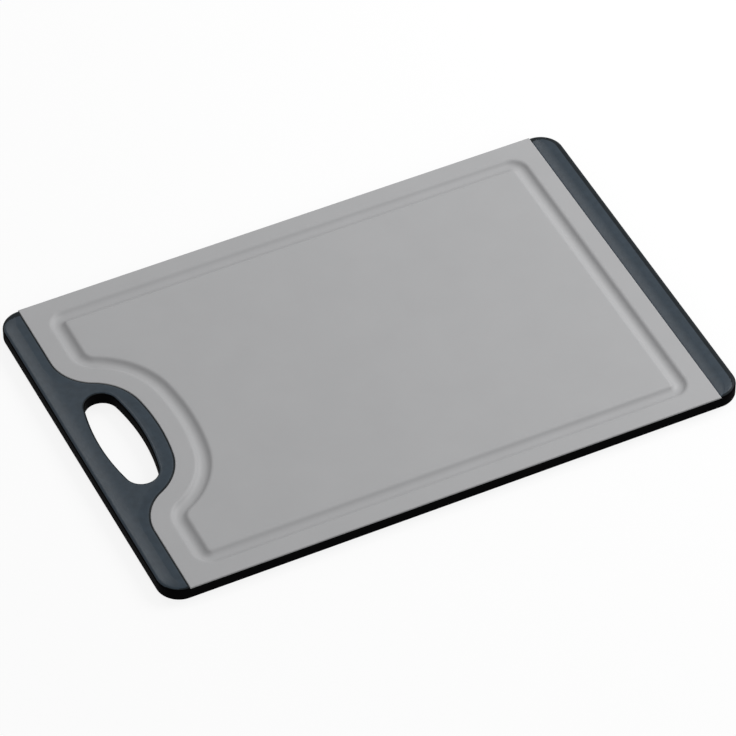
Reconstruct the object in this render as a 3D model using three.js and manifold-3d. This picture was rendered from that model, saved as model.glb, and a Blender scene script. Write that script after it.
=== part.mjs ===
// A plastic cutting board: a grey polypropylene panel with a juice groove, soft grips moulded over
// both ends and soft strips set in both long sides. It comes apart into one panel, two grips and
// two strips. Millimetres, +Z up, the origin on the resting plane under the middle of the board.
import * as THREE from "three";
import { mergeVertices } from "three/addons/utils/BufferGeometryUtils.js";
import Module from "manifold-3d";

const wasm = await Module();
wasm.setup();

// Board
const BOARD_LENGTH = 360;
const BOARD_WIDTH = 240;
const CORNER_RADIUS = 14;
const PANEL_THICKNESS = 8;
const PANEL_EDGE_RADIUS = 0.5;

// Soft grips: they wrap the ends of the panel and stand proud of both its faces. Their top is crowned
// towards the outline and the seam, and falls off more quickly round the hand hole.
const HANDLE_STRIP_WIDTH = 14.5;
const END_STRIP_WIDTH = 15;
const GRIP_RISE = 0.6;
const GRIP_EDGE_WIDTH = 8.5;
const GRIP_EDGE_DROP = 1.8;
const GRIP_SEAM_WIDTH = 5;
const GRIP_SEAM_DROP = 0.9;
const GRIP_RIM_WIDTH = 2.4;
const GRIP_RIM_DROP = 1.6;

// Smaller rounding where the soft mouldings meet the resting plane
const SOLE_EDGE_RADIUS = 1;

// Bulge of the handle grip into the panel: a foot, a shoulder and a nose arc on each side
const BULGE_REACH = 35.5;
const BULGE_HALF_SPAN = 72.5;
const FOOT_RADIUS = 28;
const SHOULDER_RADIUS = 34;
const NOSE_RADIUS = 134;

// Hand hole: an oval of two long side arcs and two round ends
const HANDLE_BAR_WIDTH = 13.6;
const HOLE_WIDTH = 25.6;
const HOLE_LENGTH = 75;
const HOLE_SIDE_RADIUS = 135;

// Juice groove in the top face: a round-bottomed channel with soft lips, along the edge of the panel
const GROOVE_MARGIN = 10.4;
const GROOVE_WIDTH = 11.4;
const GROOVE_DEPTH = 2.3;
const GROOVE_LIP_WIDTH = 2.1;
const GROOVE_INNER_CORNER_RADIUS = 0.6;

// Core plate: the middle layer of the panel runs on under the grips, which lock through its holes
const CORE_THICKNESS = 4;
const CORE_COVER = 3.5;
const KEY_RADIUS = 2.4;
const KEY_PITCH = 22;

// Side strips: each fills the lower corner of a long side, under a thin lip of the panel, down to
// the resting plane, and a dovetail rib locks it in the side wall
const STRIP_LIP = 0.8;
const STRIP_WIDTH = 3;
const RIB_DEPTH = 3;
const RIB_ROOT_HEIGHT = 2;
const RIB_TIP_HEIGHT = 3;

// Clearance between two mouldings
const MOULD_GAP = 0.2;

// Fineness of the facets, and how far a cutting shape runs past what it cuts
const CHORD_ERROR = 0.04;
const GRIP_EDGE_STEPS = 6;
const GRIP_RIM_STEPS = 4;
const SOLE_STEPS = 3;
const PANEL_BEVEL_STEPS = 2;
const LIP_STEPS = 3;
const BOWL_STEPS = 8;
const OVERSHOOT = 12;

// Places that follow from the sizes above
const GRIP_THICKNESS = PANEL_THICKNESS + 2 * GRIP_RISE;
const MIDDLE_Z = GRIP_THICKNESS / 2;
const PANEL_TOP_Z = GRIP_RISE + PANEL_THICKNESS;
const HALF_LENGTH = BOARD_LENGTH / 2;
const HALF_WIDTH = BOARD_WIDTH / 2;
const BEYOND_X = HALF_LENGTH + OVERSHOOT;
const BEYOND_Y = HALF_WIDTH + OVERSHOOT;
const HANDLE_SEAM_X = HANDLE_STRIP_WIDTH - HALF_LENGTH;
const END_SEAM_X = HALF_LENGTH - END_STRIP_WIDTH;
const HOLE_X = HANDLE_BAR_WIDTH + HOLE_WIDTH / 2 - HALF_LENGTH;
const HOLE_HALF_LENGTH = HOLE_LENGTH / 2;
const STRIP_INNER_Y = STRIP_WIDTH - HALF_WIDTH;
const STRIP_TOP_Z = PANEL_TOP_Z - STRIP_LIP - MOULD_GAP;

const point = (x, y) => new THREE.Vector2(x, y);
const polar = (angle, length) => point(Math.cos(angle), Math.sin(angle)).multiplyScalar(length);

// Points along an arc, in as many steps as its radius needs. An offset moves them to a concentric
// arc with the same steps, so that offset curves match point for point.
function arc(centre, radius, from, to, offset = 0) {
  const stepAngle = 2 * Math.acos(1 - CHORD_ERROR / radius);
  const steps = Math.max(2, Math.ceil(Math.abs(to - from) / stepAngle));
  return Array.from({ length: steps + 1 }, (_, i) => {
    const angle = from + ((to - from) * i) / steps;
    return polar(angle, radius + offset).add(centre);
  });
}

// A quarter turn about a centre, from one axis direction to the next.
function quarter(centre, radius, from, offset) {
  return arc(centre, radius, from, from + Math.PI / 2, offset);
}

// The arcs of the handle seam on the front half of the board. The shoulder touches the foot from
// outside and the nose from inside, which fixes its centre.
const foot = point(HANDLE_SEAM_X + FOOT_RADIUS, -BULGE_HALF_SPAN);
const nose = point(HANDLE_SEAM_X + BULGE_REACH - NOSE_RADIUS, 0);
const footToNose = foot.distanceTo(nose);
const footToShoulder = FOOT_RADIUS + SHOULDER_RADIUS;
const noseToShoulder = NOSE_RADIUS - SHOULDER_RADIUS;
const cosineAtFoot =
  (footToNose ** 2 + footToShoulder ** 2 - noseToShoulder ** 2) / (2 * footToNose * footToShoulder);
const flankDirection = nose.clone().sub(foot).angle() - Math.acos(cosineAtFoot);
const shoulder = polar(flankDirection, footToShoulder).add(foot);
const flankAngle = Math.PI - flankDirection;
const noseAngle = Math.asin(-shoulder.y / noseToShoulder);

// The handle seam from front to back, moved this far into the panel.
function handleSeam(inset) {
  const front = [
    ...arc(foot, FOOT_RADIUS, Math.PI, flankDirection, -inset),
    ...arc(shoulder, SHOULDER_RADIUS, -flankAngle, -noseAngle, inset).slice(1),
  ];
  const tip = arc(nose, NOSE_RADIUS, -noseAngle, noseAngle, inset).slice(1, -1);
  const back = front.map((p) => point(p.x, -p.y)).reverse();
  return [...front, ...tip, ...back];
}

// The outline of the whole board, moved inwards by an inset.
function boardOutline(inset = 0) {
  const x = HALF_LENGTH - CORNER_RADIUS;
  const y = HALF_WIDTH - CORNER_RADIUS;
  return [
    ...quarter(point(x, -y), CORNER_RADIUS, -Math.PI / 2, -inset),
    ...quarter(point(x, y), CORNER_RADIUS, 0, -inset),
    ...quarter(point(-x, y), CORNER_RADIUS, Math.PI / 2, -inset),
    ...quarter(point(-x, -y), CORNER_RADIUS, Math.PI, -inset),
  ];
}

// The oval of the hand hole, grown by a margin. Each round end touches both side arcs from inside.
function handHole(grow = 0) {
  const toSideCentre = HOLE_SIDE_RADIUS - HOLE_WIDTH / 2;
  const endRadius =
    (HOLE_SIDE_RADIUS ** 2 - toSideCentre ** 2 - HOLE_HALF_LENGTH ** 2) /
    (2 * (HOLE_SIDE_RADIUS - HOLE_HALF_LENGTH));
  const toEndCentre = HOLE_HALF_LENGTH - endRadius;
  const turn = Math.atan2(toEndCentre, toSideCentre);
  return new THREE.Path([
    ...arc(point(HOLE_X - toSideCentre, 0), HOLE_SIDE_RADIUS, -turn, turn, grow),
    ...arc(point(HOLE_X, toEndCentre), endRadius, turn, Math.PI - turn, grow).slice(1),
    ...arc(point(HOLE_X + toSideCentre, 0), HOLE_SIDE_RADIUS, Math.PI - turn, Math.PI + turn, grow).slice(1),
    ...arc(point(HOLE_X, -toEndCentre), endRadius, Math.PI + turn, 2 * Math.PI - turn, grow).slice(1, -1),
  ]);
}

// The plan on the handle's side of its seam, between the seams, and beyond the far seam. Each runs
// past the outline of the board.
function handleRegion() {
  const seamX = HANDLE_SEAM_X - MOULD_GAP;
  return new THREE.Shape([
    point(-BEYOND_X, -BEYOND_Y),
    point(seamX, -BEYOND_Y),
    ...handleSeam(-MOULD_GAP),
    point(seamX, BEYOND_Y),
    point(-BEYOND_X, BEYOND_Y),
  ]);
}

function panelRegion() {
  return new THREE.Shape([
    point(END_SEAM_X, -BEYOND_Y),
    point(END_SEAM_X, BEYOND_Y),
    point(HANDLE_SEAM_X, BEYOND_Y),
    ...handleSeam(0).reverse(),
    point(HANDLE_SEAM_X, -BEYOND_Y),
  ]);
}

function endRegion() {
  return crossBand(END_SEAM_X + MOULD_GAP);
}

// A rectangle across the board, from a place along it to beyond the far end.
function crossBand(fromX) {
  return new THREE.Shape([
    point(fromX, -BEYOND_Y),
    point(BEYOND_X, -BEYOND_Y),
    point(BEYOND_X, BEYOND_Y),
    point(fromX, BEYOND_Y),
  ]);
}

// A closed geometry as a solid that can be joined and cut.
function solid(geometry) {
  geometry.deleteAttribute("normal");
  geometry.deleteAttribute("uv");
  const merged = mergeVertices(geometry);
  const mesh = new wasm.Mesh({
    numProp: 3,
    vertProperties: merged.attributes.position.array,
    triVerts: new Uint32Array(merged.index.array),
  });
  return new wasm.Manifold(mesh);
}

function geometryOf(body) {
  const { vertProperties, triVerts } = body.getMesh();
  const shared = new THREE.BufferGeometry();
  shared.setAttribute("position", new THREE.BufferAttribute(vertProperties, 3));
  shared.setIndex(new THREE.BufferAttribute(triVerts, 1));
  const faceted = shared.toNonIndexed();
  faceted.computeVertexNormals();
  return faceted;
}

// A plate between two heights.
function plate(shape, bottom, top) {
  const geometry = new THREE.ExtrudeGeometry(shape, { depth: top - bottom, bevelEnabled: false });
  return solid(geometry.translate(0, 0, bottom));
}

// The same with its edges rounded off, by a quarter ellipse of this width and drop.
function roundedPlate(shape, bottom, top, width, drop, steps) {
  const geometry = new THREE.ExtrudeGeometry(shape, {
    depth: top - bottom - 2 * drop,
    bevelEnabled: true,
    bevelSize: width,
    bevelOffset: -width,
    bevelThickness: drop,
    bevelSegments: steps,
  });
  return solid(geometry.translate(0, 0, bottom + drop));
}

// Centres of the locking holes: a row under each end strip, with none beside the hand hole.
function keyCentres() {
  const handleX = HANDLE_SEAM_X - (HANDLE_STRIP_WIDTH - CORE_COVER) / 2;
  const endX = END_SEAM_X + (END_STRIP_WIDTH - CORE_COVER) / 2;
  const clearOfHole = HOLE_HALF_LENGTH + 2 * CORE_COVER + KEY_RADIUS;
  const perSide = Math.floor((HALF_WIDTH - CORNER_RADIUS - KEY_RADIUS) / KEY_PITCH);
  const rows = Array.from({ length: 2 * perSide + 1 }, (_, i) => (i - perSide) * KEY_PITCH);
  const handleRows = rows.filter((y) => Math.abs(y) > clearOfHole);
  return [...rows.map((y) => point(endX, y)), ...handleRows.map((y) => point(handleX, y))];
}

// The core plate or, with a grow, the room that the grips leave for it.
function corePlate(grow = 0) {
  const shape = new THREE.Shape(boardOutline(CORE_COVER - grow));
  const keys = keyCentres().map((centre) => arc(centre, KEY_RADIUS, 0, 2 * Math.PI, -grow).slice(1));
  shape.holes = [handHole(CORE_COVER - grow), ...keys.map((points) => new THREE.Path(points))];
  const halfThickness = CORE_THICKNESS / 2 + grow;
  return plate(shape, MIDDLE_Z - halfThickness, MIDDLE_Z + halfThickness);
}

// One closed loop of the juice groove, at a distance from the edge of the panel.
function grooveLoop(distance) {
  const innerEdge = GROOVE_MARGIN + GROOVE_WIDTH;
  const toCentre = innerEdge + GROOVE_INNER_CORNER_RADIUS;
  const outerRadius = GROOVE_INNER_CORNER_RADIUS + GROOVE_WIDTH;
  const offset = GROOVE_MARGIN - distance;
  const nearX = HANDLE_SEAM_X + toCentre;
  const farX = END_SEAM_X - toCentre;
  const y = HALF_WIDTH - toCentre;
  return [
    ...quarter(point(farX, -y), outerRadius, -Math.PI / 2, offset),
    ...quarter(point(farX, y), outerRadius, 0, offset),
    ...quarter(point(nearX, y), outerRadius, Math.PI / 2, offset),
    ...handleSeam(distance).reverse(),
    ...quarter(point(nearX, -y), outerRadius, Math.PI, offset),
  ];
}

// The section of the juice groove, as distances from its middle and depths: a lip that bends down, a
// bowl that takes over at the steepest angle, and a lip that bends back.
function grooveSection() {
  const halfWidth = GROOVE_WIDTH / 2;
  const steepest = 2 * Math.atan(GROOVE_DEPTH / halfWidth);
  const lipRadius = GROOVE_LIP_WIDTH / Math.sin(steepest);
  const bowlRadius = (halfWidth - GROOVE_LIP_WIDTH) / Math.sin(steepest);
  const lip = Array.from({ length: LIP_STEPS }, (_, i) => {
    const angle = (steepest * i) / LIP_STEPS;
    return point(lipRadius * Math.sin(angle) - halfWidth, lipRadius * (1 - Math.cos(angle)));
  });
  const bowl = Array.from({ length: BOWL_STEPS + 1 }, (_, i) => {
    const angle = steepest * ((2 * i) / BOWL_STEPS - 1);
    return point(bowlRadius * Math.sin(angle), GROOVE_DEPTH - bowlRadius * (1 - Math.cos(angle)));
  });
  const farLip = lip.map((p) => point(-p.x, p.y)).reverse();
  return [...lip, ...bowl, ...farLip];
}

// The space of the juice groove: its section carried round the loop, open above the face.
function grooveSpace() {
  const halfWidth = GROOVE_WIDTH / 2;
  const lid = [point(halfWidth, -OVERSHOOT), point(-halfWidth, -OVERSHOOT)];
  const loops = [...grooveSection(), ...lid].map((place) => {
    const loop = grooveLoop(GROOVE_MARGIN + halfWidth + place.x);
    return loop.map((p) => new THREE.Vector3(p.x, p.y, PANEL_TOP_Z - place.y));
  });
  return ring(loops);
}

// A ring-shaped solid through closed loops of matching points, the last loop joined to the first.
function ring(loops) {
  const around = loops[0].length;
  const index = loops.flatMap((loop, i) => {
    const here = i * around;
    const next = ((i + 1) % loops.length) * around;
    return loop.flatMap((_, j) => {
      const k = (j + 1) % around;
      return [here + j, next + k, here + k, here + j, next + j, next + k];
    });
  });
  const geometry = new THREE.BufferGeometry().setFromPoints(loops.flat());
  geometry.setIndex(index);
  return solid(geometry);
}

// The inner wall of the front strip, from its foot past the dovetail rib to its top, in Y and Z.
function drawStripWall(shape, grow) {
  const wall = STRIP_INNER_Y + grow;
  const tip = STRIP_INNER_Y + RIB_DEPTH + grow;
  const halfRoot = RIB_ROOT_HEIGHT / 2 + grow;
  const halfTip = RIB_TIP_HEIGHT / 2 + grow;
  shape.lineTo(wall, MIDDLE_Z - halfRoot);
  shape.lineTo(tip, MIDDLE_Z - halfTip);
  shape.lineTo(tip, MIDDLE_Z + halfTip);
  shape.lineTo(wall, MIDDLE_Z + halfRoot);
  shape.lineTo(wall, STRIP_TOP_Z + grow);
}

function stripSection() {
  const section = new THREE.Shape();
  const edgeCentre = point(SOLE_EDGE_RADIUS - HALF_WIDTH, SOLE_EDGE_RADIUS);
  section.moveTo(STRIP_INNER_Y, 0);
  drawStripWall(section, 0);
  section.lineTo(-HALF_WIDTH, STRIP_TOP_Z);
  quarter(edgeCentre, SOLE_EDGE_RADIUS, Math.PI).forEach((p) => section.lineTo(p.x, p.y));
  return section;
}

// The channel that the front strip sits in, open at the side and below.
function channelSection() {
  const section = new THREE.Shape();
  section.moveTo(STRIP_INNER_Y + MOULD_GAP, -OVERSHOOT);
  drawStripWall(section, MOULD_GAP);
  section.lineTo(-BEYOND_Y, STRIP_TOP_Z + MOULD_GAP);
  section.lineTo(-BEYOND_Y, -OVERSHOOT);
  return section;
}

// A section in Y and Z, carried along X from seam to seam.
function alongSide(section) {
  const length = END_SEAM_X - HANDLE_SEAM_X;
  const geometry = new THREE.ExtrudeGeometry(section, { depth: length, bevelEnabled: false });
  const axes = new THREE.Matrix4().makeBasis(
    new THREE.Vector3(0, 1, 0),
    new THREE.Vector3(0, 0, 1),
    new THREE.Vector3(1, 0, 0),
  );
  return solid(geometry.applyMatrix4(axes).translate(HANDLE_SEAM_X, 0, 0));
}

const acrossBoard = (body) => body.mirror([0, 1, 0]);

function panel() {
  const edge = [GRIP_RISE, PANEL_TOP_Z, PANEL_EDGE_RADIUS, PANEL_EDGE_RADIUS, PANEL_BEVEL_STEPS];
  const channel = alongSide(channelSection());
  return roundedPlate(new THREE.Shape(boardOutline()), ...edge)
    .intersect(roundedPlate(panelRegion(), ...edge))
    .add(corePlate())
    .subtract(grooveSpace())
    .subtract(channel)
    .subtract(acrossBoard(channel));
}

// A plate of the grips' thickness, with its top edges rounded off to measure and its sole a little.
function softPlate(shape, width, drop, steps) {
  const crowned = roundedPlate(shape, -OVERSHOOT, GRIP_THICKNESS, width, drop, steps);
  const sole = [SOLE_EDGE_RADIUS, SOLE_EDGE_RADIUS, SOLE_STEPS];
  return crowned.intersect(roundedPlate(shape, 0, GRIP_THICKNESS + OVERSHOOT, ...sole));
}

// A grip: the crowned outline of the board, as far as the seam, with a rounded rim round the hand hole
// and room for the core plate.
function grip(region) {
  const outline = new THREE.Shape(boardOutline());
  const rim = crossBand(-BEYOND_X);
  rim.holes = [handHole()];
  return softPlate(outline, GRIP_EDGE_WIDTH, GRIP_EDGE_DROP, GRIP_EDGE_STEPS)
    .intersect(softPlate(region, GRIP_SEAM_WIDTH, GRIP_SEAM_DROP, GRIP_EDGE_STEPS))
    .intersect(softPlate(rim, GRIP_RIM_WIDTH, GRIP_RIM_DROP, GRIP_RIM_STEPS))
    .subtract(corePlate(MOULD_GAP));
}

function piece(name, body, look) {
  const mesh = new THREE.Mesh(geometryOf(body), new THREE.MeshStandardMaterial(look));
  mesh.name = name;
  return mesh;
}

const polypropylene = { color: 0xa8a8a9, roughness: 0.6, metalness: 0 };
const softGrip = { color: 0x3f474f, roughness: 0.55, metalness: 0 };
const softEdge = { color: 0x0e0f10, roughness: 0.7, metalness: 0 };

const strip = alongSide(stripSection());
const board = new THREE.Group();
board.add(
  piece("board_panel", panel(), polypropylene),
  piece("handle_grip", grip(handleRegion()), softGrip),
  piece("end_grip", grip(endRegion()), softGrip),
  piece("front_edge_strip", strip, softEdge),
  piece("back_edge_strip", acrossBoard(strip), softEdge),
);

export default board;
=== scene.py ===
import math
from collections import namedtuple

import bmesh
import bpy
import numpy as np
from mathutils import Matrix, Vector


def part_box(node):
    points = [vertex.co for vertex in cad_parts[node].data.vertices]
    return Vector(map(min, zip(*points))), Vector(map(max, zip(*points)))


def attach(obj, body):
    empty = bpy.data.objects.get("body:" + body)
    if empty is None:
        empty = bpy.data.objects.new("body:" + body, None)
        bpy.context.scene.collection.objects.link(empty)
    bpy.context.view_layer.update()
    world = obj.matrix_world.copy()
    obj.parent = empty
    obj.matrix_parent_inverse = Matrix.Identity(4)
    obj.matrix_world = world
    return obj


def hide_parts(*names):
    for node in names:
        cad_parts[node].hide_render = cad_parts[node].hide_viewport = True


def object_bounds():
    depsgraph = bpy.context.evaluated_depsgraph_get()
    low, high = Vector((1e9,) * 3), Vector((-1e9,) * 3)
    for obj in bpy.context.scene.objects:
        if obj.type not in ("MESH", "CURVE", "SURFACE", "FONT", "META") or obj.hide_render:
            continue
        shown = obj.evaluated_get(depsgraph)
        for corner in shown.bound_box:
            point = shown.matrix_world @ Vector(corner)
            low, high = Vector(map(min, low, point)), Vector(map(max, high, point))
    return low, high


# The looks of a plastic cutting board: its five mouldings made again with fine surfaces in place of
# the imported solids, their finishes, and a plain studio. Metres, +Z up, the handle towards -X.
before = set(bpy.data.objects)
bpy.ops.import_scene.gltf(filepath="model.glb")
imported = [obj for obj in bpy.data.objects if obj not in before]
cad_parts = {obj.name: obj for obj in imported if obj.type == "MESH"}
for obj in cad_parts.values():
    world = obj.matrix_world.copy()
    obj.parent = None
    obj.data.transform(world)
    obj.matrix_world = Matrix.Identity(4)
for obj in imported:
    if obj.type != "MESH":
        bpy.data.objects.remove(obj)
cad_low, cad_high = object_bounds()

MM = 0.001
QUARTER = math.pi / 2

# The board as packed: half sizes, heights of the faces, seams of the two grips
panel_low, panel_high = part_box("board_panel")
strip_low, strip_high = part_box("front_edge_strip")
HALF_LENGTH = cad_high.x
HALF_WIDTH = cad_high.y
GRIP_TOP = cad_high.z
MIDDLE_Z = GRIP_TOP / 2
PANEL_BOTTOM = panel_low.z
PANEL_TOP = panel_high.z
HANDLE_SEAM = strip_low.x
END_SEAM = strip_high.x
STRIP_TOP = strip_high.z
CORNER_RADIUS = 14 * MM

# Roundings on top of the soft grips, as widths and drops: outer edges, seams and the hand hole
HANDLE_EDGE = (2.0 * MM, 1.4 * MM)
HANDLE_SEAM_EDGE = (2.2 * MM, 0.5 * MM)
HOLE_EDGE = (2.0 * MM, 1.5 * MM)
END_EDGE = (2.2 * MM, 1.4 * MM)
END_SEAM_EDGE = (0.8 * MM, 0.15 * MM)

# Soft crowns that run on from the roundings, as widths and drops
EDGE_CROWN = (10.5 * MM, 0.86 * MM)
HANDLE_SEAM_CROWN = (8.0 * MM, 0.7 * MM)
END_SEAM_CROWN = (9.0 * MM, 1.05 * MM)

# Roundings where the soft mouldings rest, and below the hand hole
FOOT_EDGE_RADIUS = 1.0 * MM
HOLE_FOOT_RADIUS = 2.5 * MM

# Bulge of the handle grip into the panel: a foot, a shoulder and a nose arc on each side
BULGE_REACH = 35.5 * MM
BULGE_HALF_SPAN = 72.5 * MM
FOOT_RADIUS = 28 * MM
SHOULDER_RADIUS = 34 * MM
NOSE_RADIUS = 134 * MM

# Hand hole: an oval of two long side arcs and two round ends
HANDLE_BAR_WIDTH = 13.6 * MM
HOLE_WIDTH = 25.6 * MM
HOLE_HALF_LENGTH = 37.5 * MM
HOLE_SIDE_RADIUS = 135 * MM
HOLE_X = HANDLE_BAR_WIDTH + HOLE_WIDTH / 2 - HALF_LENGTH

# Panel edge, and the juice groove with its rounded lips
PANEL_EDGE_RADIUS = 0.5 * MM
GROOVE_MARGIN = 10.4 * MM
GROOVE_WIDTH = 11.4 * MM
GROOVE_DEPTH = 2.3 * MM
GROOVE_LIP_WIDTH = 2.1 * MM
GROOVE_INNER_CORNER_RADIUS = 0.6 * MM
TO_CORNER_CENTRE = GROOVE_MARGIN + GROOVE_WIDTH + GROOVE_INNER_CORNER_RADIUS

# Core plate under the grips, with its locking holes
CORE_HALF_THICKNESS = 2.0 * MM
CORE_COVER = 3.5 * MM
CORE_ROOT = 4.0 * MM
KEY_RADIUS = 2.4 * MM
KEY_PITCH = 22 * MM

# Side strips and the dovetail ribs that hold them
STRIP_DEPTH = 3.0 * MM
STRIP_INNER_Y = STRIP_DEPTH - HALF_WIDTH
STRIP_TOP_RADIUS = 0.25 * MM
RIB_DEPTH = 3.0 * MM
RIB_HALF_ROOT = 1.0 * MM
RIB_HALF_TIP = 1.5 * MM

# Gap between mouldings, and how far a cutting shape runs past what it cuts: well past or just past
FIT = 0.03 * MM
OVERSHOOT = 5 * MM
CUT_PAST = 0.02 * MM

# Fineness of the meshes: the largest turn and chord of an arc, steps across each form, finer rows
# at the ends of a seam, a flat border beside a rounding, and the angle that shading keeps sharp
ARC_ANGLE = math.radians(3)
ARC_CHORD = 1.5 * MM
CORNER_STEPS = 24
EDGE_STEPS = 8
CROWN_STEPS = 12
LIP_STEPS = 5
GROOVE_STEPS = 24
SEAM_END = 6 * MM
SEAM_END_STEPS = 12
FLAT_MARGIN = 0.3 * MM
SHARP_ANGLE = math.radians(40)


# Outlines in plan


def arc(centre, radius, start, end):
    """Points along an arc, and the unit vectors from its centre to them."""
    step = min(ARC_ANGLE, ARC_CHORD / radius)
    steps = max(2, math.ceil(abs(end - start) / step))
    angles = np.linspace(start, end, steps + 1)
    rays = np.stack([np.cos(angles), np.sin(angles)], axis=1)
    return np.array(centre) + radius * rays, rays


def joined(parts):
    """Stretches of an outline as one: its points, and the directions that they move in."""
    return tuple(np.concatenate(column) for column in zip(*parts))


def moved(outline, distance):
    """The points of an outline, moved by a distance."""
    points, directions = outline
    return points + distance * directions


def board_outline():
    """The outline of the whole board, moving inwards."""
    parts = []
    for turn, (side_x, side_y) in enumerate(((1, -1), (1, 1), (-1, 1), (-1, -1))):
        centre = (side_x * (HALF_LENGTH - CORNER_RADIUS), side_y * (HALF_WIDTH - CORNER_RADIUS))
        points, rays = arc(centre, CORNER_RADIUS, (turn - 1) * QUARTER, turn * QUARTER)
        parts.append((points, -rays))
    return joined(parts)


def hand_hole():
    """The oval of the hand hole, moving outwards. Each round end touches both side arcs from inside."""
    to_side = HOLE_SIDE_RADIUS - HOLE_WIDTH / 2
    squares = HOLE_SIDE_RADIUS ** 2 - to_side ** 2 - HOLE_HALF_LENGTH ** 2
    end_radius = squares / (2 * (HOLE_SIDE_RADIUS - HOLE_HALF_LENGTH))
    to_end = HOLE_HALF_LENGTH - end_radius
    turn = math.atan2(to_end, to_side)
    arcs = [
        arc((HOLE_X - to_side, 0), HOLE_SIDE_RADIUS, -turn, turn),
        arc((HOLE_X, to_end), end_radius, turn, math.pi - turn),
        arc((HOLE_X + to_side, 0), HOLE_SIDE_RADIUS, math.pi - turn, math.pi + turn),
        arc((HOLE_X, -to_end), end_radius, math.pi + turn, 2 * math.pi - turn),
    ]
    return joined([(points[:-1], rays[:-1]) for points, rays in arcs])


def handle_seam():
    """The seam of the handle grip from front to back, moving into the panel."""
    foot = np.array([HANDLE_SEAM + FOOT_RADIUS, -BULGE_HALF_SPAN])
    nose = np.array([HANDLE_SEAM + BULGE_REACH - NOSE_RADIUS, 0])
    to_nose = nose - foot
    span = np.hypot(*to_nose)
    to_shoulder = FOOT_RADIUS + SHOULDER_RADIUS
    nose_to_shoulder = NOSE_RADIUS - SHOULDER_RADIUS
    cosine = (span ** 2 + to_shoulder ** 2 - nose_to_shoulder ** 2) / (2 * span * to_shoulder)
    flank = math.atan2(to_nose[1], to_nose[0]) - math.acos(cosine)
    shoulder = foot + to_shoulder * np.array([math.cos(flank), math.sin(flank)])
    tip_angle = math.asin(-shoulder[1] / nose_to_shoulder)
    foot_points, foot_rays = arc(foot, FOOT_RADIUS, math.pi, flank)
    side_points, side_rays = arc(shoulder, SHOULDER_RADIUS, flank - math.pi, -tip_angle)
    tip_points, tip_rays = arc(nose, NOSE_RADIUS, -tip_angle, tip_angle)
    front, into = joined([(foot_points, -foot_rays), (side_points[1:], side_rays[1:])])
    across = np.array([1, -1])
    back = (front[::-1] * across, into[::-1] * across)
    return joined([(front, into), (tip_points[1:-1], tip_rays[1:-1]), back])


def seam_region(seam, outer_x):
    """The plan from a seam to past the outline of the board, its seam moving outwards."""
    points, into_panel = seam
    outwards = -into_panel
    beyond_y = HALF_WIDTH + OVERSHOOT
    seam_end = np.linspace(HALF_WIDTH - SEAM_END, HALF_WIDTH, SEAM_END_STEPS + 1)
    rows = np.append(seam_end, beyond_y)
    back = np.column_stack([np.full(len(rows), points[-1][0]), rows])
    front = np.column_stack([np.full(len(rows), points[0][0]), -rows])[::-1]
    far = np.array([[outer_x, beyond_y], [outer_x, -beyond_y]])
    return joined([
        (points, outwards),
        (back, np.repeat(outwards[-1:], len(rows), axis=0)),
        (far, np.zeros((2, 2))),
        (front, np.repeat(outwards[:1], len(rows), axis=0)),
    ])


def panel_loop(distance, round_corners):
    """A closed loop on the panel at a distance from its edge, with square or round corners."""
    reach = TO_CORNER_CENTRE - distance
    near_x = HANDLE_SEAM + TO_CORNER_CENTRE
    far_x = END_SEAM - TO_CORNER_CENTRE
    y = HALF_WIDTH - TO_CORNER_CENTRE
    corners = []
    for turn, centre in enumerate(((far_x, -y), (far_x, y), (near_x, y), (near_x, -y))):
        angles = np.linspace(turn - 1, turn, CORNER_STEPS + 1) * QUARTER
        rays = np.stack([np.cos(angles), np.sin(angles)], axis=1)
        if not round_corners:
            rays = rays / np.abs(rays).max(axis=1, keepdims=True)
        corners.append(np.array(centre) + reach * rays)
    seam = moved(handle_seam(), distance)[::-1]
    return np.concatenate([*corners[:3], seam, corners[3]])


# Closed meshes


def level(points, z):
    """A plan loop at a height."""
    return np.column_stack([points, np.full(len(points), z)])


def along_x(section, x):
    """A loop of Y and Z at a place along the board."""
    return np.column_stack([np.full(len(section), x), section])


def closed_mesh(name, tubes):
    """A closed piece from tubes of matching loops: the first loops are filled, and so are the last."""
    bm = bmesh.new()
    ends = ([], [])
    for loops in tubes:
        rings = [[bm.verts.new(co) for co in loop] for loop in loops]
        for here, there in zip(rings, rings[1:]):
            for i in range(len(here)):
                bm.faces.new((here[i - 1], here[i], there[i], there[i - 1]))
        for edges, ring in zip(ends, (rings[0], rings[-1])):
            edges.extend(bm.edges.get((ring[i - 1], ring[i])) for i in range(len(ring)))
    for edges in ends:
        bmesh.ops.triangle_fill(bm, edges=edges, use_beauty=True)
    bmesh.ops.recalc_face_normals(bm, faces=bm.faces)
    mesh = bpy.data.meshes.new(name)
    bm.to_mesh(mesh)
    bm.free()
    piece = bpy.data.objects.new(name, mesh)
    bpy.context.scene.collection.objects.link(piece)
    return piece


def combine(piece, operation, tool):
    """Cuts, joins or trims a piece by another, which is used up."""
    modifier = piece.modifiers.new("combine", "BOOLEAN")
    modifier.operation = operation
    modifier.solver = "MANIFOLD"
    modifier.object = tool
    depsgraph = bpy.context.evaluated_depsgraph_get()
    mesh = bpy.data.meshes.new_from_object(piece.evaluated_get(depsgraph))
    piece.modifiers.clear()
    old = piece.data
    name = old.name
    piece.data = mesh
    bpy.data.meshes.remove(old)
    mesh.name = name
    bpy.data.objects.remove(tool)


def rounding(width, drop):
    """Steps in from an edge, by a quarter ellipse: distances, and drops below the face."""
    turns = np.linspace(0, QUARTER, EDGE_STEPS + 1)
    return np.stack([width * (1 - np.cos(turns)), drop * (1 - np.sin(turns))], axis=1)


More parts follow.
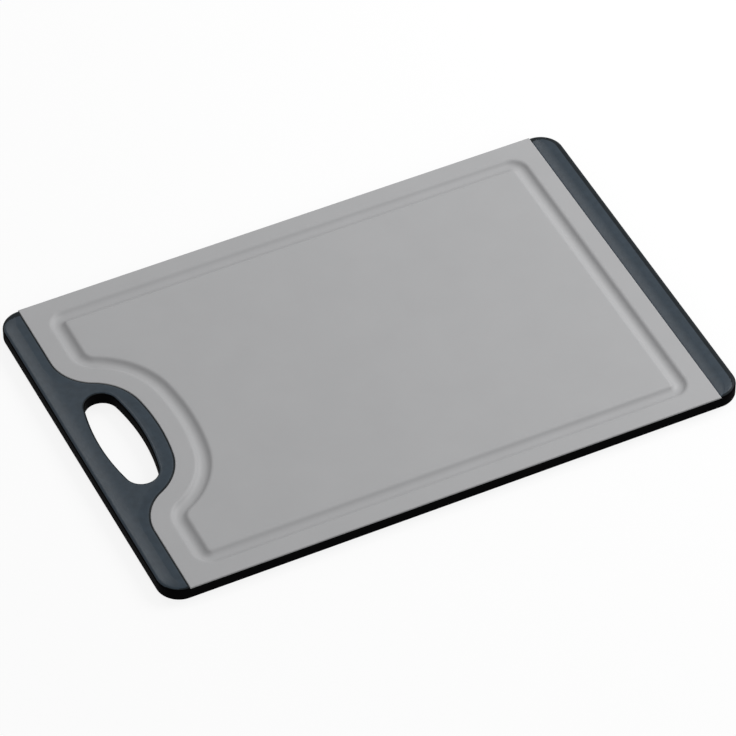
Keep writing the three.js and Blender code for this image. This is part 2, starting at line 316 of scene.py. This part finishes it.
def crowned(profile, width, drop):
    """A profile that runs on into a soft crown."""
    run_on = np.linspace(profile[-1, 0], width, CROWN_STEPS + 1)[1:]
    steps = np.concatenate([profile, np.stack([run_on, np.zeros(CROWN_STEPS)], axis=1)])
    steps[:, 1] += drop * (1 - steps[:, 0] / width) ** 2
    return steps


def edged_tube(outline, lower_profile, upper_profile, bottom, top):
    """A tube round an outline whose edges follow profiles, from the bottom face to the top face."""
    lower = [level(moved(outline, distance), bottom + drop) for distance, drop in lower_profile[::-1]]
    upper = [level(moved(outline, distance), top - drop) for distance, drop in upper_profile]
    return lower + upper


# Core plate


def key_rows():
    """Where the locking holes sit across the board."""
    per_side = math.floor((HALF_WIDTH - CORNER_RADIUS - KEY_RADIUS) / KEY_PITCH)
    return [row * KEY_PITCH for row in range(-per_side, per_side + 1)]


def key_hole(x, y, grow):
    """A locking hole of the core plate or, with a grow, the pin of soft material in it."""
    return arc((x, y), KEY_RADIUS - grow, 0, 2 * math.pi)[0][:-1]


def plate(name, outline, holes, half_thickness):
    """A flat plate about the middle of the board."""
    heights = (MIDDLE_Z - half_thickness, MIDDLE_Z + half_thickness)
    return closed_mesh(name, [[level(points, z) for z in heights] for points in (outline, *holes)])


def handle_tongue(grow):
    """The core plate in the handle grip or, with a grow, the room for it."""
    cover = CORE_COVER - grow
    outline = moved(board_outline(), cover)
    left = outline[outline[:, 0] < -HALF_LENGTH / 2]
    root = moved(handle_seam(), CORE_ROOT)
    root_x = root[0][0]
    side_y = HALF_WIDTH - cover
    loop = np.concatenate([[[root_x, -side_y]], root, [[root_x, side_y]], left])
    clear_of_hole = HOLE_HALF_LENGTH + 2 * CORE_COVER + KEY_RADIUS
    key_x = (HANDLE_SEAM - HALF_LENGTH + CORE_COVER) / 2
    keys = [key_hole(key_x, y, grow) for y in key_rows() if abs(y) > clear_of_hole]
    holes = [moved(hand_hole(), cover), *keys]
    return plate("handle_tongue", loop, holes, CORE_HALF_THICKNESS + grow)


def end_tongue(grow):
    """The core plate in the end grip or, with a grow, the room for it."""
    cover = CORE_COVER - grow
    outline = moved(board_outline(), cover)
    right = outline[outline[:, 0] > HALF_LENGTH / 2]
    root_x = END_SEAM - CORE_ROOT
    side_y = HALF_WIDTH - cover
    loop = np.concatenate([right, [[root_x, side_y], [root_x, -side_y]]])
    key_x = (END_SEAM + HALF_LENGTH - CORE_COVER) / 2
    keys = [key_hole(key_x, y, grow) for y in key_rows()]
    return plate("end_tongue", loop, keys, CORE_HALF_THICKNESS + grow)


# Soft grips


def grip(name, region, tongue, edge, seam):
    """A soft grip: a rounded blank of the board, trimmed at its seam, with room for the core."""
    foot = rounding(FOOT_EDGE_RADIUS, FOOT_EDGE_RADIUS)
    outer = crowned(rounding(*edge), *EDGE_CROWN)
    hole_foot = rounding(HOLE_FOOT_RADIUS, HOLE_FOOT_RADIUS)
    piece = closed_mesh(name, [
        edged_tube(board_outline(), foot, outer, 0, GRIP_TOP),
        edged_tube(hand_hole(), hole_foot, rounding(*HOLE_EDGE), 0, GRIP_TOP),
    ])
    trim = closed_mesh("trim", [edged_tube(region, foot, seam, -CUT_PAST, GRIP_TOP + CUT_PAST)])
    combine(piece, "INTERSECT", trim)
    combine(piece, "DIFFERENCE", tongue)
    return piece


def handle_grip():
    """The grip at the handle, whose seam bulges into the panel round the hand hole."""
    points, into_panel = handle_seam()
    seam = (points - FIT * into_panel, into_panel)
    region = seam_region(seam, -HALF_LENGTH - OVERSHOOT)
    seam_profile = crowned(rounding(*HANDLE_SEAM_EDGE), *HANDLE_SEAM_CROWN)
    return grip("handle_grip_moulding", region, handle_tongue(FIT), HANDLE_EDGE, seam_profile)


def end_grip():
    """The grip at the far end, with a straight seam, of which two inner points are enough."""
    x = END_SEAM + FIT
    inner_y = HALF_WIDTH / 2
    seam = (np.array([[x, -inner_y], [x, inner_y]]), np.array([[-1.0, 0.0], [-1.0, 0.0]]))
    region = seam_region(seam, HALF_LENGTH + OVERSHOOT)
    seam_profile = crowned(rounding(*END_SEAM_EDGE), *END_SEAM_CROWN)
    return grip("end_grip_moulding", region, end_tongue(FIT), END_EDGE, seam_profile)


# Panel


def groove_section():
    """Distances from the edge of the panel and depths across the groove: a lip, a bowl and a lip."""
    half = GROOVE_WIDTH / 2
    bowl_half = half - GROOVE_LIP_WIDTH
    steepest = 2 * math.atan(GROOVE_DEPTH / half)
    lip_radius = GROOVE_LIP_WIDTH / math.sin(steepest)
    bowl_radius = bowl_half / math.sin(steepest)
    turns = np.linspace(0, steepest, LIP_STEPS + 1)[:-1]
    lip = np.stack([lip_radius * np.sin(turns) - half, lip_radius * (1 - np.cos(turns))], axis=1)
    far_lip = lip[::-1] * np.array([-1, 1])
    swing = np.linspace(-steepest, steepest, GROOVE_STEPS + 1)
    bowl_depths = GROOVE_DEPTH - bowl_radius * (1 - np.cos(swing))
    bowl = np.stack([bowl_radius * np.sin(swing), bowl_depths], axis=1)
    flat = np.array([[half + FLAT_MARGIN, 0]])
    section = np.concatenate([flat * -1, lip, bowl, far_lip, flat])
    return section + np.array([GROOVE_MARGIN + half, 0])


def board_panel():
    """The grey panel: one tube from its bottom face up its edge and through the groove to its top."""
    flat = [[PANEL_EDGE_RADIUS + FLAT_MARGIN, 0]]
    edge = np.append(rounding(PANEL_EDGE_RADIUS, PANEL_EDGE_RADIUS), flat, axis=0)
    lower = [level(panel_loop(distance, False), PANEL_BOTTOM + drop) for distance, drop in edge[::-1]]
    upper = [level(panel_loop(distance, False), PANEL_TOP - drop) for distance, drop in edge]
    groove = [
        level(panel_loop(distance, True), PANEL_TOP - depth) for distance, depth in groove_section()
    ]
    piece = closed_mesh("board_panel_moulding", [lower + upper + groove])
    combine(piece, "UNION", handle_tongue(0))
    combine(piece, "UNION", end_tongue(0))
    for side in (1, -1):
        combine(piece, "DIFFERENCE", strip_channel(side))
    return piece


# Side strips


def strip_wall(grow):
    """The inner wall of the front strip from its foot past the dovetail rib to its top, in Y and Z."""
    wall = STRIP_INNER_Y + grow
    tip = wall + RIB_DEPTH
    root = RIB_HALF_ROOT + grow
    end = RIB_HALF_TIP + grow
    return [[wall, MIDDLE_Z - root], [tip, MIDDLE_Z - end], [tip, MIDDLE_Z + end],
            [wall, MIDDLE_Z + root], [wall, STRIP_TOP + grow]]


def strip_mesh(name, section, side, start, end):
    """A section of the front strip along the board, mirrored for the back one by a side of -1."""
    placed = np.array(section) * (side, 1)
    return closed_mesh(name, [[along_x(placed, x) for x in (start, end)]])


def strip_channel(side):
    """The room for a side strip, open at the side and below."""
    low_z = -OVERSHOOT
    high_z = STRIP_TOP + FIT
    outer_y = -HALF_WIDTH - OVERSHOOT
    section = [[STRIP_INNER_Y + FIT, low_z], *strip_wall(FIT), [outer_y, high_z], [outer_y, low_z]]
    return strip_mesh("channel", section, side, HANDLE_SEAM - CUT_PAST, END_SEAM + CUT_PAST)


def edge_strip(name, side):
    """A soft side strip with rounded outer edges."""
    head_centre = (STRIP_TOP_RADIUS - HALF_WIDTH, STRIP_TOP - STRIP_TOP_RADIUS)
    head, _ = arc(head_centre, STRIP_TOP_RADIUS, QUARTER, math.pi)
    foot_centre = (FOOT_EDGE_RADIUS - HALF_WIDTH, FOOT_EDGE_RADIUS)
    foot, _ = arc(foot_centre, FOOT_EDGE_RADIUS, math.pi, 3 * QUARTER)
    section = [[STRIP_INNER_Y, 0], *strip_wall(0), *head, *foot]
    return strip_mesh(name, section, side, HANDLE_SEAM + FIT, END_SEAM - FIT)


# Finishes

# Soft mottles in a colour, by a share of it, and a fine grain in the roughness and the relief.
# Sizes and heights are in metres, and detail is the number of finer layers in the noise.
Mottle = namedtuple("Mottle", "size detail swing")
Grain = namedtuple("Grain", "size detail roughness height")

PANEL_GREY = (0.350, 0.351, 0.357)
PANEL_SPECULAR = 0.4
PANEL_MOTTLE = Mottle(size=26 * MM, detail=3, swing=0.015)
PANEL_GRAIN = Grain(size=0.55 * MM, detail=3, roughness=(0.50, 0.62), height=0.012 * MM)

GRIP_ANTHRACITE = (0.0240, 0.0357, 0.0480)
GRIP_SPECULAR = 0.16
# Painted shade: a darker anthracite with little reflection, for the grips' rims that turn from the
# lamps
PAINTED_SHADE_RIM_COLOUR = (0.0165, 0.0200, 0.0225)
PAINTED_SHADE_RIM_SPECULAR = 0.02
GRIP_MOTTLE = Mottle(size=4 * MM, detail=3, swing=0.12)
GRIP_GRAIN = Grain(size=0.45 * MM, detail=2, roughness=(0.28, 0.38), height=0.014 * MM)

# Painted shade: black rubber of the side strips, made darker and less reflective than rubber, and the
# same black painted on the grips' steep faces, which are anthracite
BLACK_RUBBER_AND_SHADE = (0.002, 0.002, 0.0022)
EDGE_SPECULAR = 0.01
EDGE_MOTTLE = Mottle(size=5 * MM, detail=2, swing=0.2)
EDGE_GRAIN = Grain(size=0.4 * MM, detail=2, roughness=(0.62, 0.78), height=0.01 * MM)

# The part of a noise's values that a mottle or a grain is spread over
NOISE_LIMITS = (0.3, 0.7)


class Finish:
    """A principled material with its texture space in metres on the object."""

    def __init__(self, name, roughness, specular):
        self.material = bpy.data.materials.new(name)
        self.material.use_nodes = True
        self.tree = self.material.node_tree
        self.shader = self.tree.nodes["Principled BSDF"]
        self.shader.inputs["Roughness"].default_value = roughness
        self.shader.inputs["Specular IOR Level"].default_value = specular
        self.space = self.tree.nodes.new("ShaderNodeTexCoord")

    def node(self, kind, socket, source):
        """A new node, with a link into one of its sockets."""
        made = self.tree.nodes.new(kind)
        self.tree.links.new(source, made.inputs[socket])
        return made

    def noise(self, size, detail):
        """Soft noise whose grains have a size in metres."""
        made = self.node("ShaderNodeTexNoise", "Vector", self.space.outputs["Object"])
        made.inputs["Scale"].default_value = 1 / size
        made.inputs["Detail"].default_value = detail
        return made.outputs["Fac"]

    def colours(self, source, low, high):
        """Colours from noise, spread between two."""
        made = self.node("ShaderNodeValToRGB", "Fac", source)
        for stop, place, colour in zip(made.color_ramp.elements, NOISE_LIMITS, (low, high)):
            stop.position = place
            stop.color = (*colour, 1)
        return made.outputs["Color"]

    def values(self, source, low, high):
        """Values from noise, spread between two."""
        made = self.node("ShaderNodeMapRange", "Value", source)
        made.inputs["From Min"].default_value, made.inputs["From Max"].default_value = NOISE_LIMITS
        made.inputs["To Min"].default_value = low
        made.inputs["To Max"].default_value = high
        return made.outputs["Result"]

    def relief(self, source, height):
        """A surface raised by noise, up to a height in metres."""
        made = self.node("ShaderNodeBump", "Height", source)
        made.inputs["Distance"].default_value = height
        return made.outputs["Normal"]

    def into(self, socket, source):
        """Links a texture into the shader."""
        self.tree.links.new(source, self.shader.inputs[socket])


def shade(colour, factor):
    """A colour made lighter or darker."""
    return tuple(channel * factor for channel in colour)


def moulded_finish(name, colour, specular, mottle, grain):
    """A moulded plastic with mottles in its colour, and a grain in its roughness and relief."""
    finish = Finish(name, sum(grain.roughness) / 2, specular)
    clouds = finish.noise(mottle.size, mottle.detail)
    darker = shade(colour, 1 - mottle.swing)
    lighter = shade(colour, 1 + mottle.swing)
    finish.into("Base Color", finish.colours(clouds, darker, lighter))
    grains = finish.noise(grain.size, grain.detail)
    finish.into("Roughness", finish.values(grains, *grain.roughness))
    finish.into("Normal", finish.relief(grains, grain.height))
    return finish.material


# Faces of a grip that are less level than the first limit are painted black, a painted shade. Those up
# to the second are painted dark, a painted shade, unless they lean to the handle.
BLACK_SHADE_LEVEL = 0.78
PAINTED_SHADE_RIM_LEVEL = 0.96

# Painted shade borders of the grips, dark: at the far end, and towards the back on either grip
END_SHADE_BORDER = 3.6 * MM
HANDLE_BACK_SHADE_BORDER = 5.2 * MM
END_BACK_SHADE_BORDER = 4.0 * MM

# Places of a grip's three finishes in its list of materials: anthracite top, painted shade rim, black
# shade
TOP_PLACE, PAINTED_SHADE_RIM_PLACE, BLACK_SHADE_PLACE = range(3)


def in_painted_shade_rim(face):
    """Whether a face of a grip is in its painted shade rim, by its slope or its distance from the
    outline.
    """
    lean = Vector(face.normal.xy)
    if face.normal.z <= 0 or not lean.length:
        return False
    to_handle = max(0.0, -lean.x / lean.length)
    x, y = face.center.xy
    beyond_x = max(abs(x) - HALF_LENGTH + CORNER_RADIUS, 0)
    beyond_y = max(abs(y) - HALF_WIDTH + CORNER_RADIUS, 0)
    outward = Vector((math.copysign(beyond_x, x), math.copysign(beyond_y, y)))
    inset = CORNER_RADIUS - outward.length
    outward.normalize()
    # The painted shade border runs towards the far end and the back, and not at the front or the handle
    # end
    back_shade_border = HANDLE_BACK_SHADE_BORDER if x < 0 else END_BACK_SHADE_BORDER
    shade_border = END_SHADE_BORDER * max(outward.x, 0) ** 2 + back_shade_border * max(outward.y, 0) ** 2
    return inset < shade_border or face.normal.z < PAINTED_SHADE_RIM_LEVEL + (BLACK_SHADE_LEVEL - PAINTED_SHADE_RIM_LEVEL) * to_handle


def grip_place(face):
    """A grip face's finish: anthracite if level, painted dark shade at the rim, painted black shade if
    steep.
    """
    if abs(face.normal.z) < BLACK_SHADE_LEVEL:
        return BLACK_SHADE_PLACE
    return PAINTED_SHADE_RIM_PLACE if in_painted_shade_rim(face) else TOP_PLACE


def dress(piece, node, slot, *finishes):
    """Gives a piece its finish, or a grip its three, smooth shading and its place in the part."""
    piece.data.materials.clear()
    for material in finishes:
        piece.data.materials.append(material)
    for face in piece.data.polygons:
        face.material_index = grip_place(face) if len(finishes) > 1 else 0
        face.use_smooth = True
    piece.data.set_sharp_from_angle(angle=SHARP_ANGLE)
    weighted = piece.modifiers.new("even_shading", "WEIGHTED_NORMAL")
    weighted.keep_sharp = True
    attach(piece, "root")
    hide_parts(node)


polypropylene = moulded_finish(
    "matte_polypropylene", PANEL_GREY, PANEL_SPECULAR, PANEL_MOTTLE, PANEL_GRAIN)
soft_grip = moulded_finish("soft_grip", GRIP_ANTHRACITE, GRIP_SPECULAR, GRIP_MOTTLE, GRIP_GRAIN)
# Painted shade on the grips' rims
painted_shade_rim = moulded_finish("painted_shade_rim", PAINTED_SHADE_RIM_COLOUR, PAINTED_SHADE_RIM_SPECULAR, GRIP_MOTTLE, GRIP_GRAIN)
# Black rubber of the side strips with painted shade, and painted black shade on the grips' steep faces
black_rubber_and_painted_shade = moulded_finish("black_rubber_and_painted_shade", BLACK_RUBBER_AND_SHADE, EDGE_SPECULAR, EDGE_MOTTLE, EDGE_GRAIN)
dress(board_panel(), "board_panel", "panel", polypropylene)
dress(handle_grip(), "handle_grip", "grip", soft_grip, painted_shade_rim, black_rubber_and_painted_shade)
dress(end_grip(), "end_grip", "grip", soft_grip, painted_shade_rim, black_rubber_and_painted_shade)
dress(edge_strip("front_edge_moulding", 1), "front_edge_strip", "edge_strip", black_rubber_and_painted_shade)
dress(edge_strip("back_edge_moulding", -1), "back_edge_strip", "edge_strip", black_rubber_and_painted_shade)


# Studio

# Floor and world: what the camera sees of them is near white, and the board gets less of their light
FLOOR_HALF_SIZE = 6.0
FLOOR_PALE = (0.9, 0.9, 0.9, 1)
FLOOR_BOUNCE = (0.35, 0.35, 0.35, 1)
SHADOW_SHARE = 0.15
AMBIENT = 0.365
WHITE = (1, 1, 1, 1)

# Softbox at the right: where it stands, the length of its sides, and its watts
KEY_PLACE = (1.14, 0.16, 0.94)
KEY_SIZE = 0.74
KEY_WATTS = 16.2

# Far lights: the way towards them, their width in degrees, and their strength
FILL_WAY = (-0.05, -0.8, 0.6)
FILL_DEGREES = 40
FILL_STRENGTH = 0.52
BACK_WAY = (0.06, 0.627, 0.77)
BACK_DEGREES = 10
BACK_STRENGTH = 0.37

# Camera at the photograph's viewing angle: lens and sensor in millimetres
CAMERA_LENS = 256.36
CAMERA_SENSOR = 36.0
CAMERA_AZIMUTH = math.radians(-25.497)
CAMERA_ELEVATION = math.radians(45.499)
CAMERA_ROLL = math.radians(-0.445)
CAMERA_DISTANCE = 2.9988
CAMERA_TARGET = Vector((-1.13 * MM, -3.33 * MM, 0))


def background_rays(tree):
    """One for the rays that see the background: straight, mirrored or passed through."""
    path = tree.nodes.new("ShaderNodeLightPath")
    seen = path.outputs["Is Camera Ray"]
    for name in ("Is Glossy Ray", "Is Transmission Ray"):
        either = tree.nodes.new("ShaderNodeMath")
        either.operation = "MAXIMUM"
        tree.links.new(seen, either.inputs[0])
        tree.links.new(path.outputs[name], either.inputs[1])
        seen = either.outputs[0]
    return seen


def floor_finish():
    """White with a share of shadow where it is seen, and a grey that bounces less light elsewhere."""
    material = bpy.data.materials.new("pale_floor")
    material.use_nodes = True
    tree = material.node_tree
    tree.nodes.clear()
    white = tree.nodes.new("ShaderNodeEmission")
    pale = tree.nodes.new("ShaderNodeBsdfDiffuse")
    pale.inputs["Color"].default_value = FLOOR_PALE
    bounce = tree.nodes.new("ShaderNodeBsdfDiffuse")
    bounce.inputs["Color"].default_value = FLOOR_BOUNCE
    shadowed = tree.nodes.new("ShaderNodeMixShader")
    shadowed.inputs["Fac"].default_value = SHADOW_SHARE
    tree.links.new(white.outputs[0], shadowed.inputs[1])
    tree.links.new(pale.outputs[0], shadowed.inputs[2])
    either = tree.nodes.new("ShaderNodeMixShader")
    tree.links.new(background_rays(tree), either.inputs["Fac"])
    tree.links.new(bounce.outputs[0], either.inputs[1])
    tree.links.new(shadowed.outputs[0], either.inputs[2])
    output = tree.nodes.new("ShaderNodeOutputMaterial")
    tree.links.new(either.outputs[0], output.inputs["Surface"])
    return material


def add_floor():
    """A wide pale floor under the board."""
    mesh = bpy.data.meshes.new("floor")
    half = FLOOR_HALF_SIZE
    corners = [(-half, -half, 0), (half, -half, 0), (half, half, 0), (-half, half, 0)]
    mesh.from_pydata(corners, [], [(0, 1, 2, 3)])
    mesh.materials.append(floor_finish())
    floor = bpy.data.objects.new("floor", mesh)
    bpy.context.scene.collection.objects.link(floor)


def add_world():
    """A white world that lights the board softly."""
    world = bpy.data.worlds.new("studio")
    world.use_nodes = True
    tree = world.node_tree
    sky = tree.nodes["Background"]
    sky.inputs["Color"].default_value = WHITE
    strength = tree.nodes.new("ShaderNodeMapRange")
    tree.links.new(background_rays(tree), strength.inputs["Value"])
    strength.inputs["To Min"].default_value = AMBIENT
    strength.inputs["To Max"].default_value = 1.0
    tree.links.new(strength.outputs["Result"], sky.inputs["Strength"])
    bpy.context.scene.world = world


def add_lamp(data, place):
    """Sets a lamp at a place, facing the middle of the board."""
    lamp = bpy.data.objects.new(data.name, data)
    lamp.location = place
    lamp.rotation_euler = (-Vector(place)).to_track_quat("-Z", "Y").to_euler()
    bpy.context.scene.collection.objects.link(lamp)


def add_softbox(name, place, size, watts):
    """A square lamp near the board."""
    data = bpy.data.lights.new(name, "AREA")
    data.size = size
    data.energy = watts
    add_lamp(data, place)


def add_far_light(name, way, degrees, strength):
    """A lamp so far away that it shines evenly, from a disc of some degrees across."""
    data = bpy.data.lights.new(name, "SUN")
    data.angle = math.radians(degrees)
    data.energy = strength
    add_lamp(data, way)


def add_camera():
    """The camera, turned by its roll about the line to its target."""
    data = bpy.data.cameras.new("camera")
    data.lens = CAMERA_LENS
    data.sensor_width = CAMERA_SENSOR
    camera = bpy.data.objects.new("camera", data)
    ahead = Vector((-math.sin(CAMERA_AZIMUTH), math.cos(CAMERA_AZIMUTH), 0))
    up = Vector((0, 0, 1))
    back = up * math.sin(CAMERA_ELEVATION) - ahead * math.cos(CAMERA_ELEVATION)
    right = Matrix.Rotation(CAMERA_ROLL, 3, back) @ ahead.cross(up)
    axes = Matrix((right, back.cross(right), back)).transposed().to_4x4()
    camera.matrix_world = Matrix.Translation(CAMERA_TARGET + back * CAMERA_DISTANCE) @ axes
    bpy.context.scene.collection.objects.link(camera)
    bpy.context.scene.camera = camera


add_floor()
add_world()
add_softbox("key_softbox", KEY_PLACE, KEY_SIZE, KEY_WATTS)
add_far_light("front_fill", FILL_WAY, FILL_DEGREES, FILL_STRENGTH)
add_far_light("back_light", BACK_WAY, BACK_DEGREES, BACK_STRENGTH)
add_camera()
bpy.context.scene.view_settings.view_transform = "Standard"
